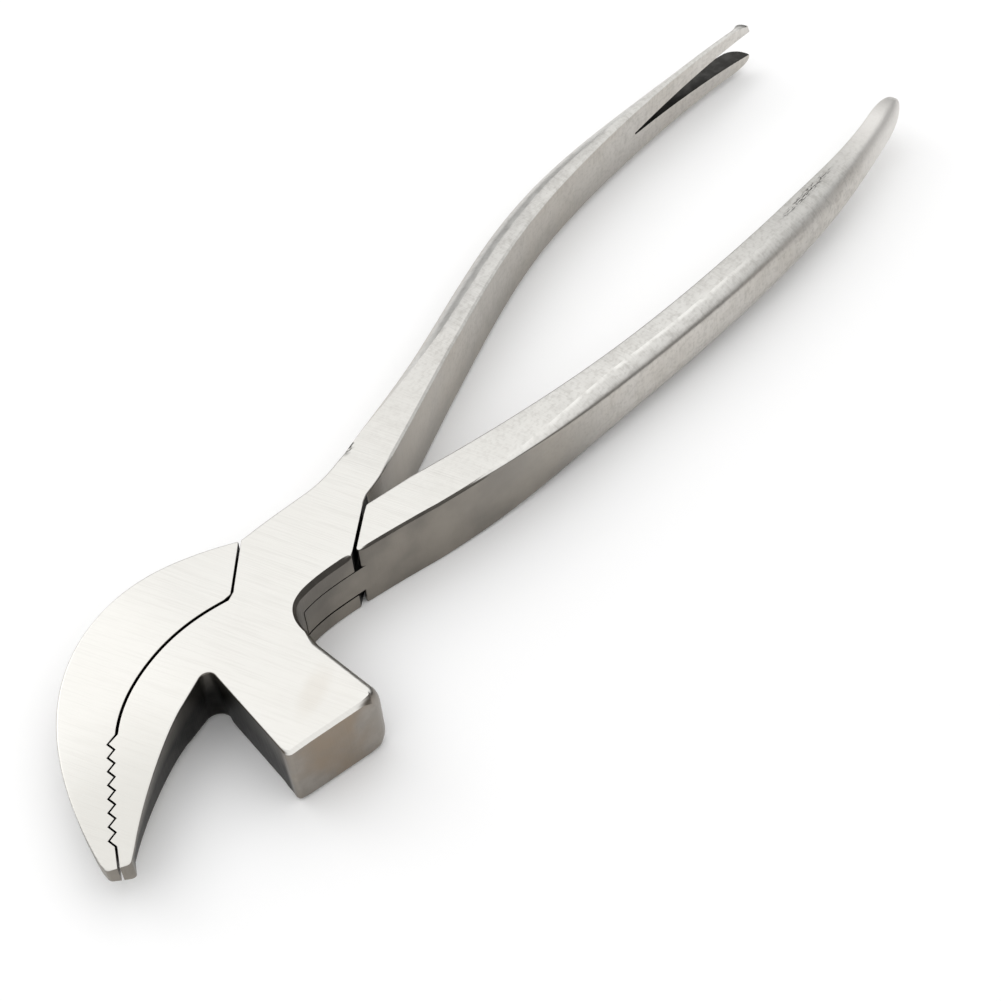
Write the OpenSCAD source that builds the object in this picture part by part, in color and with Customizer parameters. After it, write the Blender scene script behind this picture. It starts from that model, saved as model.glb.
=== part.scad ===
// Lasting pliers for leather work: two forged steel halves, one passing through
// the other in a box joint, held by a flush rivet. The half with the box carries
// the hammer head, the inner jaw and the handle that ends in a tack lifter.
// The origin is on the pivot axis, in the flat underside of the joint. X runs
// from the jaws to the handles and halves the angle between them, Z is up.

/* [Joint] */
// Thickness of the joint, the handle roots and the hammer
body_t = 12.5; // [11.5:0.1:15]
// Thickness of the upper cheek of the box
top_cheek_t = 3.8; // [3:0.1:4.5]
// Thickness of the lower cheek of the box
bottom_cheek_t = 3.0; // [2.5:0.1:4]
// Radius of the round middle of the tongue
tongue_r = 7.4; // [6.8:0.1:7.6]
// Play between the edge of the tongue and the walls of the slot
slot_play = 0.3; // [0.2:0.05:0.4]
// Play between each flat of the tongue and its cheek
face_play = 0.1; // [0.05:0.01:0.2]
// Pivot to the cheek edge that faces the outer jaw
jaw_shoulder = 8.5; // [8.3:0.1:9.5]
// Pivot to the cheek edge that faces the plain handle
handle_shoulder = 8.7; // [8.3:0.1:9.5]
// Gap between the outer jaw and the cheek
jaw_shoulder_gap = 0.4; // [0.4:0.1:1]
// Gap between the plain handle and the cheek
handle_shoulder_gap = 0.5; // [0.5:0.1:1.2]
// Angle that the joint opens to
opening = 35; // [20:1:35]

/* [Rivet] */
// Diameter of the rivet shank
rivet_d = 6; // [5:0.1:6.6]
// Diameter of the peened ends, flush with the cheeks
rivet_head_d = 8; // [7:0.1:9]
// Depth of the peened ends
rivet_head_t = 1.2; // [0.8:0.1:1.5]
// Radial play of the rivet in the tongue
rivet_play = 0.05; // [0.02:0.01:0.1]

/* [Jaws] */
// Pivot to the end of the nose along X
jaw_reach = 53.8; // [48:0.2:62]
// How far the nose lies below the X axis
nose_drop = 14.6; // [12:0.1:16]
// Thickness of the nose
nose_t = 3.2; // [2.4:0.1:5]
// Width of the nose over both jaws
nose_w = 3.5; // [3:0.1:4.5]
// Height of the back of the outer jaw above the X axis
back_h = 17; // [14:0.2:20]
// Gap between the jaws behind the teeth
seam_gap = 0.45; // [0.4:0.05:0.8]
// Gap between the meshed teeth
tooth_gap = 0.25; // [0.15:0.05:0.4]
// Pitch of the teeth
tooth_pitch = 2.2; // [1.6:0.05:2.3]
// Depth of the teeth
tooth_depth = 1.0; // [0.6:0.1:1.2]
// Number of teeth on the outer jaw
tooth_count = 7; // [4:1:7]
// Radius of the throat between the inner jaw and the hammer
throat_r = 1.4; // [0.8:0.1:2.5]
// Distance from the pivot at which the jaws start to thin
taper_start = 21; // [18:0.5:26]
// Turn of the thinning away from the X axis
taper_turn = 15; // [12:1:18]

/* [Hammer] */
// Pivot to the hammer face
hammer_reach = 29.8; // [25:0.1:36]
// Width of the hammer at its face
hammer_w = 17; // [15:0.1:18]
// Width of the hammer at its root
hammer_root_w = 14.8; // [12.5:0.1:15]
// Lean of the hammer towards the jaws
hammer_lean = 13.5; // [10:0.5:16]
// Chamfer round the hammer face
hammer_chamfer = 0.6; // [0.3:0.1:1.2]
// How far the hammer's side towards the handle falls off to the flats
side_fall = 1.0; // [0.2:0.1:1.4]
// Radius of the upright edge of the hammer on the handle side
hammer_edge_r = 1.8; // [1:0.1:3]

/* [Handles] */
// Pivot to the handle ends along X
handle_reach = 146.6; // [127:0.2:165]
// Distance of each handle end from the X axis
handle_end_y = 15.6; // [12:0.1:19]
// How far the notched handle bows out
notched_bow = 21.4; // [18:0.2:26]
// How far the plain handle bows out
plain_bow = 19.8; // [17:0.2:24]
// Width of the handles at the joint, across the pliers
handle_root_w = 7.8; // [7.2:0.1:8.2]
// Width of the handles in the grip
handle_w = 6.2; // [5:0.1:8]
// Thickness of the handles in the grip
handle_t = 9.7; // [7.5:0.1:11]
// Width of the notched handle at its tip
lifter_w = 3.6; // [2.8:0.1:4.2]
// Thickness of the notched handle over both prongs
lifter_t = 10; // [8.6:0.1:10.8]
// Length of the notch
notch_l = 34.2; // [22:0.2:45]
// Width of the notch at the prong tips
notch_w = 5.3; // [3:0.1:5.6]
// Width of the plain handle before its rounded tip
plain_tip_w = 4.2; // [3:0.1:5.5]
// Thickness of the plain handle before its rounded tip
plain_tip_t = 6.2; // [4.5:0.1:8]

/* [Hidden] */
$fn = 48;
steel = [0.80, 0.79, 0.77];
mid_z = body_t/2;
slot_z0 = bottom_cheek_t;
slot_z1 = body_t - top_cheek_t;
over = 1;               // how far a cutter runs past what it cuts
grind = 0.4;            // forging allowance that the flat faces are ground down from
stop_turn = opening + 1; // the tongue's arm meets the end of the slot here

// Directions from the pivot, in degrees: out to the outer jaw, out to the plain
// handle, along the hammer, and along the row of teeth
jaw_dir = 126;
handle_dir = -59;
hammer_dir = 270 - hammer_lean;
tooth_dir = 224.8;

// A point given by its distance from the pivot along a direction and its offset
// to the left of it
function at(dir, out, left) = [out*cos(dir) - left*sin(dir), out*sin(dir) + left*cos(dir)];
function unit(v) = v/norm(v);
function mix(a, b, t) = a + (b - a)*t;
// 0 before a, 1 after b, and smooth between
function ease(a, b, x) = let(t = min(1, max(0, (x - a)/(b - a)))) t*t*(3 - 2*t);
// Points on a cubic curve from a to d that leaves towards b and arrives from c
function curve(a, b, c, d, n) =
    [for (i = [0:n]) let(t = i/n, s = 1 - t) s*s*s*a + 3*s*s*t*b + 3*s*t*t*c + t*t*t*d];
// The same curve moved sideways by g, to the right of its direction
function beside(a, b, c, d, n, g) =
    [for (i = [0:n]) let(t = i/n, s = 1 - t,
        v = unit(s*s*(b - a) + 2*s*t*(c - b) + t*t*(d - c)))
        s*s*s*a + 3*s*s*t*b + 3*s*t*t*c + t*t*t*d + g*[v[1], -v[0]]];
// Points on the arc of radius r that rounds the corner b between a and c
function corner(a, b, c, r, n = 6) =
    let(u = unit(a - b), v = unit(c - b), half = acos(u*v)/2,
        m = b + unit(u + v)*r/sin(half),
        p = b + u*r/tan(half) - m, q = b + v*r/tan(half) - m, w = 180 - 2*half)
    [for (i = [0:n]) m + (sin(w*(1 - i/n))*p + sin(w*i/n)*q)/sin(w)];

// Corners of the cheeks where they face the outer jaw and the plain handle
jaw_out = 2.4;
jaw_in = 7.8;
handle_in = 0.4;
handle_out = 10.4;
cheek_jaw_out = at(jaw_dir, jaw_shoulder, -jaw_out);
cheek_jaw_in = at(jaw_dir, jaw_shoulder, jaw_in);
cheek_handle_in = at(handle_dir, handle_shoulder, -handle_in);
cheek_handle_out = at(handle_dir, handle_shoulder, handle_out);
box_end_x = 15.5;

// The seam between the jaws, and the row of teeth that follows it
seam_start = at(jaw_dir, jaw_shoulder + jaw_shoulder_gap/2, jaw_in + 0.9);
nose = [-jaw_reach, -nose_drop];
nose_line = 3.4;
along = [cos(tooth_dir), sin(tooth_dir)];
to_inner = [cos(tooth_dir + 90), sin(tooth_dir + 90)];
nose_line_dir = unit([0.64, 0.77]);
teeth_end = nose + nose_line*nose_line_dir;
teeth_start = teeth_end - (tooth_count + 0.5)*tooth_pitch*along - tooth_depth*to_inner;
// The seam meets the teeth a little inside the first tooth
seam_end = teeth_start + [1.9, 0];
function seam(side) =
    beside(seam_start, seam_start + [-7.5, 2.6], seam_end + [7.8, 6.2], seam_end, 12, side*seam_gap/2);
function teeth(side) =
    let(g = -side*tooth_gap/2*to_inner)
    [for (i = [0:tooth_count]) each [
        teeth_start + i*tooth_pitch*along + g,
        teeth_start + (i + 0.5)*tooth_pitch*along + tooth_depth*to_inner + g]];
nose_across = [-nose_line_dir[1], nose_line_dir[0]];
function nose_corner(side) = nose + side*nose_w/2*nose_across;

// Outline of the edge of the box that the tongue lies flush with
fillet_top = [-6, -6.5];
function box_side() =
    curve(fillet_top, fillet_top + [3, 0.4], cheek_handle_in + [-3, 0.7], cheek_handle_in, 8);

// The hammer, seen from above
hammer_left = -22;
hammer_bevel = 1.2;
side_fall_h = 4;
throat_corner = [-23.4, -3.6];
hammer_corner = at(hammer_dir, hammer_reach, hammer_left);
hammer_far = at(hammer_dir, hammer_reach, hammer_left + hammer_w);
hammer_root = at(hammer_dir, 13.5, hammer_left + hammer_root_w);
jaw_inner_end = nose_corner(-1);
throat_jaw = [-30, -5];

// The box half from the crotch round the back of the box, the jaw and the hammer
function box_outline() = concat(
    [cheek_handle_out, [box_end_x, -1.3]],
    curve([box_end_x, 6.5], [10, 6.1], [4, 7.8], cheek_jaw_out, 10),
    corner(cheek_jaw_out, cheek_jaw_in, seam(-1)[0], 0.8),
    seam(-1),
    teeth(-1),
    [nose - tooth_gap/2*nose_across],
    corner(nose, jaw_inner_end, jaw_inner_end + [6, 3.2], 0.8),
    curve(jaw_inner_end + [2.1, 1.3], [-44, -10], [-34, -5.6], throat_jaw, 12),
    corner(throat_jaw, throat_corner, hammer_corner, throat_r),
    [hammer_corner + hammer_bevel*unit(throat_corner - hammer_corner),
     hammer_corner + hammer_bevel*unit(hammer_far - hammer_corner)],
    corner(hammer_corner, hammer_far, hammer_root, hammer_edge_r),
    curve(hammer_root, hammer_root + [0.4, 2.8], fillet_top + [-2.1, -0.2], fillet_top, 8),
    box_side());

// The outer jaw, from the cheek along the seam to the nose and back over its back
jaw_root_out = at(jaw_dir, jaw_shoulder + jaw_shoulder_gap, -jaw_out + 0.2);
jaw_root_in = at(jaw_dir, jaw_shoulder + jaw_shoulder_gap, jaw_in + 0.3);
back_top = [-25.5, back_h];
jaw_outer_end = nose_corner(1);
function jaw_outline() = concat(
    corner(jaw_root_out, jaw_root_in, seam(1)[1], 0.8),
    [for (i = [1:12]) seam(1)[i]],
    teeth(1),
    [nose + tooth_gap/2*nose_across],
    corner(nose, jaw_outer_end, jaw_outer_end + [0.6, 3], 0.8),
    curve(jaw_outer_end + [0.35, 1.75], jaw_outer_end + [7.6, 21.5], back_top - [11.5, 0], back_top, 14),
    curve(back_top, back_top + [8, 0], jaw_root_out + [-5.3, 4.1], jaw_root_out, 10));

// Cuts that thin the jaws on both sides: flat at first, then round, then a ramp
taper_len = jaw_reach*cos(taper_turn) - nose_drop*sin(taper_turn) - taper_start;
ramp = atan((body_t - nose_t)/2/taper_len);
taper_blend = 60;
module taper_cut() {
    run = taper_blend*tan(ramp/2);
    far = taper_len + 10;
    turn = 180 - taper_turn;
    rotate([0, 0, turn]) translate([0, 40, 0]) rotate([90, 0, 0]) linear_extrude(80)
        polygon(concat(
            [for (i = [0:8]) let(a = ramp*i/8) [taper_start - run + taper_blend*sin(a), taper_blend*(cos(a) - 1)]],
            [[taper_start + far, -far*tan(ramp)], [taper_start + far, over], [taper_start - run, over]]));
}
module thin_jaws() {
    translate([0, 0, body_t]) taper_cut();
    mirror([0, 0, 1]) taper_cut();
}

// A handle swept along its middle line. Each ring is flat on the inside, with its
// two edges eased by a bevel, and round over part of its width outside. Fall is the
// power that the upper and the lower quarter fall off by: 1 gives an ellipse, more
// gives a slanted edge and less a square one.
// side is 1 for a handle whose outside lies towards +Y and -1 for the other.
arc_n = 10;
ring_n = arc_n + 5;
edge_bevel = 0.35;
function ring(w, t, share, side, fall = [1, 1]) = let(e = edge_bevel, m = w/2 - share*w,
    half = concat([[-w/2, -t/2 + e], [-w/2, t/2 - e], [-w/2 + e, t/2]],
        [for (i = [0:arc_n]) let(a = 180*i/arc_n)
            [m + share*w*pow(max(0, sin(a)), fall[a > 90 ? 1 : 0]), t/2*cos(a)]],
        [[-w/2 + e, -t/2]]))
    side > 0 ? half : [for (i = [ring_n - 1:-1:0]) [-half[i][0], half[i][1]]];
module sweep(path, rings) {
    n = len(path) - 1;
    pts = [for (k = [0:n])
        let(d = unit(path[min(k + 1, n)] - path[max(k - 1, 0)]), c = path[k])
        for (r = rings[k]) [c[0] - d[1]*r[0], c[1] + d[0]*r[0], mid_z + r[1]]];
    faces = [for (k = [0:n - 1], i = [0:ring_n - 1])
        let(j = (i + 1)%ring_n, a = k*ring_n + i, b = k*ring_n + j, c = b + ring_n, d = a + ring_n)
        each [[a, b, c], [a, c, d]]];
    caps = [for (i = [1:ring_n - 2]) each [
        [0, i + 1, i], [n*ring_n, n*ring_n + i, n*ring_n + i + 1]]];
    polyhedron(points = pts, faces = concat(faces, caps), convexity = 6);
}

// Width and thickness along each handle, by the distance x from the pivot
function handle_scale(x) = x*146.6/handle_reach;
function grip_w(x, to) = mix(handle_root_w, handle_w, ease(12, to, x));
function grip_t(x) = mix(body_t + grind, handle_t, min(1, max(0, (x - 14)/68)));
function round_share(x, from) = mix(0.1, 0.5, ease(from, 70, x));

// The middle line of each handle: two curves that meet in the middle of the grip,
// the second one in steps that get shorter towards the tip
function to_tip(a, b, c, d, n) = [for (i = [1:n]) let(t = sin(90*i/n), s = 1 - t)
    s*s*s*a + 3*s*s*t*b + 3*s*t*t*c + t*t*t*d];
function bowed(a, b, c, d, e, f, g) = concat(curve(a, b, c, d, 15), to_tip(d, e, f, g, 16));
// Share of the full width that is left near a tip at x = end, rounded over length l
function tip_round(x, end, l) = sqrt(max(0.03, 1 - pow(max(0, (x - end + l)/l), 2)));

// The prongs are rounded off on their outer side only, so that the inner edge of
// the notched handle runs straight on to its end, and they get thinner at the tips.
// The upper prong is slanted off outside and the lower one is left square.
notched_mid = [90, notched_bow - 0.5];
notched_end = [handle_reach + 0.1, handle_end_y + 2.5];
prong_round = 3.6;
prong_thinning = 5;
function lifter_fall(x) = [mix(1, 3.2, ease(62, 138, x)), mix(1, 0.6, ease(86, 130, x))];
function lifter_taper(x) = mix(0.64, 1, tip_round(x, notched_end[0], prong_thinning));
notched_path = bowed([8, 0.3], [53, notched_bow - 9.6], notched_mid - [23.5, 1.6], notched_mid,
    notched_mid + [19.3, 1.3], notched_end + [-13.2, 2.2], notched_end);
notched_rings = [for (c = notched_path)
    let(x = handle_scale(c[0]), k = tip_round(c[0], notched_end[0], prong_round),
        w = mix(grip_w(x, 48), lifter_w, ease(74, 146, x)))
    [for (p = ring(w, mix(grip_t(x), lifter_t, ease(90, 130, x))*lifter_taper(c[0]),
            mix(round_share(x, 12), 0.9, ease(95, 130, x)), 1, lifter_fall(x)))
        [(p[0] + w/2)*k - w/2, p[1]]]];

plain_mid = [92, -plain_bow + 0.5];
plain_end = [handle_reach, -handle_end_y];
plain_path = bowed([4, -3.3], [35, -plain_bow + 6.4], plain_mid + [-33, 1.7], plain_mid,
    plain_mid + [30, -1.3], plain_end - [11.3, 2.3], plain_end);
tip_l = 9;
plain_rings = [for (c = plain_path)
    let(x = handle_scale(c[0]), k = tip_round(c[0], plain_end[0], tip_l))
    ring(mix(grip_w(x, 72), plain_tip_w, ease(108, 138, x))*k,
         mix(grip_t(x), plain_tip_t, ease(80, 142, x))*k, round_share(x, 26), -1)];

// Everything is ground to the thickness of the joint
module grind_flat() {
    intersection() {
        children();
        translate([-100, -60, 0]) cube([handle_reach + 120, 120, body_t]);
    }
}

// The tongue is round about the rivet, with an arm out to the jaw and one out to
// the handle, each as wide as the joint leaves room for
function arc(r, a, b) = [for (i = [0:12]) let(t = mix(a, b, i/12)) r*[cos(t), sin(t)]];
jaw_arm = jaw_shoulder + jaw_shoulder_gap + over;
handle_arm = handle_shoulder + handle_shoulder_gap + over;
tongue_outline = concat(
    arc(tongue_r, jaw_dir + 90 - 360, handle_dir - asin(handle_in/tongue_r)),
    [at(handle_dir, handle_arm, -handle_in), at(handle_dir, handle_arm, tongue_r)],
    arc(tongue_r, handle_dir + 90, jaw_dir - asin(jaw_out/tongue_r)),
    [at(jaw_dir, jaw_arm, -jaw_out), at(jaw_dir, jaw_arm, tongue_r)]);
module tongue() {
    difference() {
        translate([0, 0, slot_z0 + face_play]) linear_extrude(slot_z1 - slot_z0 - 2*face_play)
            polygon(tongue_outline);
        linear_extrude(body_t)
            polygon(concat(box_side(), [cheek_handle_in + [0, -12], fillet_top + [0, -12]]));
    }
}

// The slot is what the tongue sweeps as it turns to its stop, with play all round:
// round the middle, and open where each arm comes out
slot_r = tongue_r + slot_play;
slot_out = 14;
function reach(dir, right) = [at(dir - stop_turn, slot_out, -right), at(dir - stop_turn/2, 1.3*slot_out, 0),
    at(dir, slot_out, slot_r)];
slot_outline = concat(
    arc(slot_r, jaw_dir + 90 - 360, handle_dir - stop_turn - asin((handle_in + slot_play)/slot_r)),
    reach(handle_dir, handle_in + slot_play),
    arc(slot_r, handle_dir + 90, jaw_dir - stop_turn - asin((jaw_out + slot_play)/slot_r)),
    reach(jaw_dir, jaw_out + slot_play));
module slot() {
    translate([0, 0, slot_z0]) linear_extrude(slot_z1 - slot_z0) polygon(slot_outline);
}

module rivet_shape(play) {
    cylinder(d = rivet_d + 2*play, h = body_t);
    translate([0, 0, body_t - rivet_head_t])
        cylinder(d1 = rivet_d + 2*play, d2 = rivet_head_d + 2*play, h = rivet_head_t);
    cylinder(d1 = rivet_head_d + 2*play, d2 = rivet_d + 2*play, h = rivet_head_t);
}

// Chamfers along the upper and lower edges of the hammer face
module hammer_edges() {
    for (z = [0, body_t])
        rotate([0, 0, hammer_dir]) translate([hammer_reach, 0, z]) rotate([0, 45, 0])
            cube([hammer_chamfer*sqrt(2), 80, hammer_chamfer*sqrt(2)], center = true);
    // The side towards the handle is full in the middle and falls off to both flats
    side = hammer_far - hammer_root;
    for (z = [0, body_t])
        translate([hammer_far[0], hammer_far[1], z]) rotate([0, 0, atan2(side[1], side[0])])
            translate([0, -side_fall, 0]) rotate([atan(side_fall/side_fall_h)*(z > 0 ? 1 : -1), 0, 0])
                translate([-14, 0, -side_fall_h*2]) cube([18, 10, side_fall_h*4]);
}

// The notch of the tack lifter, a wedge lying on its side
module notch() {
    translate([handle_reach - notch_l, handle_end_y - 12, mid_z]) rotate([-90, 0, 0])
        linear_extrude(24) polygon([[0, 0],
            [notch_l + over, -notch_w/2*(notch_l + over)/notch_l],
            [notch_l + over, notch_w/2*(notch_l + over)/notch_l]]);
}

module box_half() {
    color(steel) difference() {
        grind_flat() union() {
            translate([0, 0, -grind]) linear_extrude(body_t + 2*grind) polygon(box_outline());
            sweep(notched_path, notched_rings);
        }
        slot();
        thin_jaws();
        hammer_edges();
        notch();
        rivet_shape(0);
    }
}

module through_half() {
    color(steel) difference() {
        union() {
            linear_extrude(body_t) polygon(jaw_outline());
            grind_flat() difference() {
                sweep(plain_path, plain_rings);
                rotate([0, 0, handle_dir]) translate([-30, -30, -over])
                    cube([30 + handle_shoulder + handle_shoulder_gap, 60, body_t + 2*over]);
            }
            tongue();
        }
        thin_jaws();
        translate([0, 0, -over]) cylinder(d = rivet_d + 2*rivet_play, h = body_t + 2*over);
    }
}

module pivot_pin() {
    color(steel) rivet_shape(0);
}

box_half();
through_half();
pivot_pin();
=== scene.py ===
import math

import bmesh
import bpy
import numpy as np
from mathutils import Matrix, Vector
from mathutils.geometry import delaunay_2d_cdt


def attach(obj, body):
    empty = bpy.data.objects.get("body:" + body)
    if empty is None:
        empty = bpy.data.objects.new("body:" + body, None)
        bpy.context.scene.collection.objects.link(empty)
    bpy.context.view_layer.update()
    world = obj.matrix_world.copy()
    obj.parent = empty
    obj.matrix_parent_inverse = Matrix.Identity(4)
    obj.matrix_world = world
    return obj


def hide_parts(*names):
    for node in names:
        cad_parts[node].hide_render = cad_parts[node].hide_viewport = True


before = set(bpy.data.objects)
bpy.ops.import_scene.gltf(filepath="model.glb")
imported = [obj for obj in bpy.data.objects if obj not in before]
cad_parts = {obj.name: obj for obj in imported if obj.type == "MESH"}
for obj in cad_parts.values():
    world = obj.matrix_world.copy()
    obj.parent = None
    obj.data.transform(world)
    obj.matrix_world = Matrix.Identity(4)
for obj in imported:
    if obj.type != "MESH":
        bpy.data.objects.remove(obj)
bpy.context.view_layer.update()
scene = bpy.context.scene

# Viewpoint: a long lens that looks down on the closed pliers from the jaw side,
# with the jaws at the lower left and the handle ends at the upper right.
IMAGE = 1001
FOCAL_PIXELS = 2150
camera_data = bpy.data.cameras.new("viewpoint")
camera_data.sensor_width = 36
camera_data.lens = camera_data.sensor_width*FOCAL_PIXELS/IMAGE
camera_data.clip_start = 0.02
camera = bpy.data.objects.new("viewpoint", camera_data)
scene.collection.objects.link(camera)
scene.camera = camera
right = Vector((0.61678, -0.78388, -0.07159)).normalized()
up = Vector((0.62210, 0.42971, 0.65448)).normalized()
camera.matrix_world = Matrix.Translation((-0.13223, -0.16598, 0.25877)) @ Matrix(
    (right, up, right.cross(up))).transposed().to_4x4()

# Studio: a white paper floor, a broad overhead softbox that the flats mirror and a
# side softbox beyond the notched handle, which throws the soft shadows, in a grey room.
scene.view_settings.view_transform = "Standard"


def softbox(name, place, size, power):
    """A square area light at place that faces the pliers."""
    data = bpy.data.lights.new(name, "AREA")
    data.size = size
    data.energy = power
    lamp = bpy.data.objects.new(name, data)
    scene.collection.objects.link(lamp)
    lamp.location = place
    lamp.rotation_euler = (Vector((0.04, 0, 0)) - Vector(place)).to_track_quat("-Z", "Y").to_euler()


softbox("overhead_softbox", (0.42, 0.58, 0.80), 1.3, 0.7)
softbox("side_softbox", (-0.10, 1.0, 0.55), 0.6, 1.4)


class Wire:
    """One output of a node. Arithmetic on it adds the Math nodes of the expression."""

    def __init__(self, sheet, socket):
        self.sheet, self.socket = sheet, socket

    def math(self, operation, *values):
        """The Math node of this operation on the values."""
        return self.sheet.node("ShaderNodeMath", {"operation": operation}, values)

    def larger(self, other):
        """The larger of the two."""
        return self.math("MAXIMUM", self, other)

    def __abs__(self):
        return self.math("ABSOLUTE", self)

    def __add__(self, other):
        return self.math("ADD", self, other)

    def __radd__(self, other):
        return self.math("ADD", other, self)

    def __sub__(self, other):
        return self.math("SUBTRACT", self, other)

    def __rsub__(self, other):
        return self.math("SUBTRACT", other, self)

    def __mul__(self, other):
        return self.math("MULTIPLY", self, other)

    def __rmul__(self, other):
        return self.math("MULTIPLY", other, self)

    def step(self, low, high):
        """0 below low, 1 above high, and a smooth rise between them."""
        return self.sheet.node("ShaderNodeMapRange", {"interpolation_type": "SMOOTHSTEP"},
                               (self, low, high, 0, 1))


MM = 0.001


class Sheet:
    """The node sheet of one material, or of the room."""

    def __init__(self, name, owner=None):
        self.material = owner or bpy.data.materials.new(name)
        self.material.use_nodes = True
        self.shader = self.material.node_tree.nodes["Background" if owner else "Principled BSDF"]

    def link(self, value, socket):
        """Joins a wire to the socket, or sets the socket to a plain value."""
        if isinstance(value, Wire):
            self.material.node_tree.links.new(value.socket, socket)
        else:
            socket.default_value = value

    def node(self, kind, settings=None, values=(), out=0):
        """A node with its settings, then its inputs by number or by name, and its chosen output."""
        made = self.material.node_tree.nodes.new(kind)
        for key, value in (settings or {}).items():
            setattr(made, key, value)
        for key, value in (values.items() if isinstance(values, dict) else enumerate(values)):
            self.link(value, made.inputs[key])
        return Wire(self, made.outputs[out])

    def coordinate(self, vector, axis):
        """One of a vector's three numbers."""
        return self.node("ShaderNodeSeparateXYZ", values=(vector,), out=axis)

    def blend(self, share, a, b):
        """Colour a where share is 0 and b where it is 1."""
        return self.node("ShaderNodeMix", {"data_type": "RGBA"}, {0: share, 6: a, 7: b}, 2)

    def placed(self, where, centre, size, turn):
        """The position where, measured from centre in units of size along X, Y and Z, after a turn about Z
        in degrees. Centre and size are in millimetres."""
        return self.node("ShaderNodeMapping", {"vector_type": "TEXTURE"},
                         (where, tuple(MM*c for c in centre), (0, 0, math.radians(turn)),
                          tuple(MM*s for s in size)))

    def noise(self, where, size, detail=3, turn=0.0):
        """Noise with spots of the given size in millimetres along X, Y and Z, turned about Z."""
        place = self.placed(where, (0, 0, 0), size, turn)
        return self.node("ShaderNodeTexNoise", values={"Vector": place, "Scale": 1, "Detail": detail})

    def near(self, where, centre, radii, turn=0.0):
        """1 at the middle of an ellipsoid and 0 outside it, with a smooth fall between."""
        place = self.placed(where, centre, radii, turn)
        far = self.node("ShaderNodeVectorMath", {"operation": "LENGTH"}, (place,), "Value")
        return 1 - far.step(0.3, 1.0)


# The room is bright overhead and dark towards the horizon, less so beyond the pliers
HORIZON, OVERHEAD, FAR_WALL = 0.07, 1.22, 0.36
room = Sheet("room", bpy.data.worlds.new("room"))
scene.world = room.material
direction = room.node("ShaderNodeTexCoord", out="Generated")
ceiling = room.coordinate(direction, "Z").step(0.28, 0.74)
beyond = room.coordinate(direction, "Y").step(0.25, 0.8)
room.shader.inputs["Color"].default_value = (1, 1, 1, 1)
room.link(HORIZON + OVERHEAD*ceiling + FAR_WALL*beyond*(1 - ceiling), room.shader.inputs["Strength"])

# A sheet of white paper
floor_mesh = bpy.data.meshes.new("floor")
floor_mesh.from_pydata([(-4, -4, 0), (4, -4, 0), (4, 4, 0), (-4, 4, 0)], [], [(0, 1, 2, 3)])
floor = bpy.data.objects.new("floor", floor_mesh)
scene.collection.objects.link(floor)
floor.location.z = -0.0001
paper = Sheet("white_paper")
paper.shader.inputs["Base Color"].default_value = (0.97, 0.97, 0.97, 1)
paper.shader.inputs["Roughness"].default_value = 0.9
paper.shader.inputs["Specular IOR Level"].default_value = 0.0
floor_mesh.materials.append(paper.material)

# Box half: one steel forging with a handle, the two cheeks of the box, the inner
# jaw and the hammer head. It is ground flat above and below, its edges are eased,
# and the slot for the other half is cut right through the joint.

# Lengths are in millimetres, which MM turns into metres, and directions in degrees
BODY = 12.5
MID = BODY/2
SLOT_LOW, SLOT_HIGH = 3.0, 8.7
TONGUE_R, SLOT_PLAY, FACE_PLAY, LOW_PLAY = 7.4, 0.3, 0.22, 0.34
JAW_SHOULDER, JAW_GAP, HANDLE_SHOULDER, HANDLE_GAP = 8.5, 0.35, 8.72, 0.48
STOP, ARM_REACH, ARM_CORNER, HEEL_R = 36, 14, 18.2, 9.0
JAW_DIR, HANDLE_DIR, HAMMER_DIR, TOOTH_DIR = 126, -59, 256.5, 224.8
JAW_OUT, JAW_IN, HANDLE_IN, HANDLE_OUT = 2.4, 7.8, 0.4, 10.4


def at(direction, out, left):
    """The point that far out from the pivot along a direction in degrees, and that far to its left."""
    a = math.radians(direction)
    return np.array([out*math.cos(a) - left*math.sin(a), out*math.sin(a) + left*math.cos(a)])


def unit(v):
    """The vector divided by its length."""
    return v/np.linalg.norm(v)


def ease(a, b, x):
    """0 before a, 1 after b and 3t^2 - 2t^3 between, with t the way from a to b."""
    t = np.clip((np.asarray(x, float) - a)/(b - a), 0, 1)
    return t*t*(3 - 2*t)


def bezier(a, b, c, d, n, beside=0.0, to_tip=False):
    """Cubic curve from a to d that leaves towards b and arrives from c: the four points weighted by
    s^3, 3s^2t, 3st^2 and t^3. beside moves it to its right, and to_tip shortens its steps towards d."""
    t = np.linspace(0, 1, n + 1)[:, None]
    t = np.sin(t*np.pi/2) if to_tip else t
    s = 1 - t
    a, b, c, d = (np.asarray(p, float) for p in (a, b, c, d))
    run = s*s*(b - a) + 2*s*t*(c - b) + t*t*(d - c)
    run /= np.linalg.norm(run, axis=1)[:, None]
    return s**3*a + 3*s*s*t*b + 3*s*t*t*c + t**3*d + beside*np.column_stack([run[:, 1], -run[:, 0]])


def rounded(a, b, c, r, n=8):
    """Arc of radius r that rounds the corner b between a and c."""
    a, b, c = (np.asarray(p, float) for p in (a, b, c))
    u, v = unit(a - b), unit(c - b)
    half = math.acos(float(np.clip(u @ v, -1, 1)))/2
    middle = b + unit(u + v)*r/math.sin(half)
    p, q = b + u*r/math.tan(half) - middle, b + v*r/math.tan(half) - middle
    w = math.pi - 2*half
    t = np.linspace(0, 1, n + 1)[:, None]
    return middle + (np.sin(w*(1 - t))*p + np.sin(w*t)*q)/math.sin(w)


def arc(r, a, b, n=24):
    """Arc of radius r about the pivot: r cos t and r sin t, with t from a to b degrees."""
    t = np.radians(np.linspace(a, b, n + 1))
    return r*np.column_stack([np.cos(t), np.sin(t)])


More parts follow.
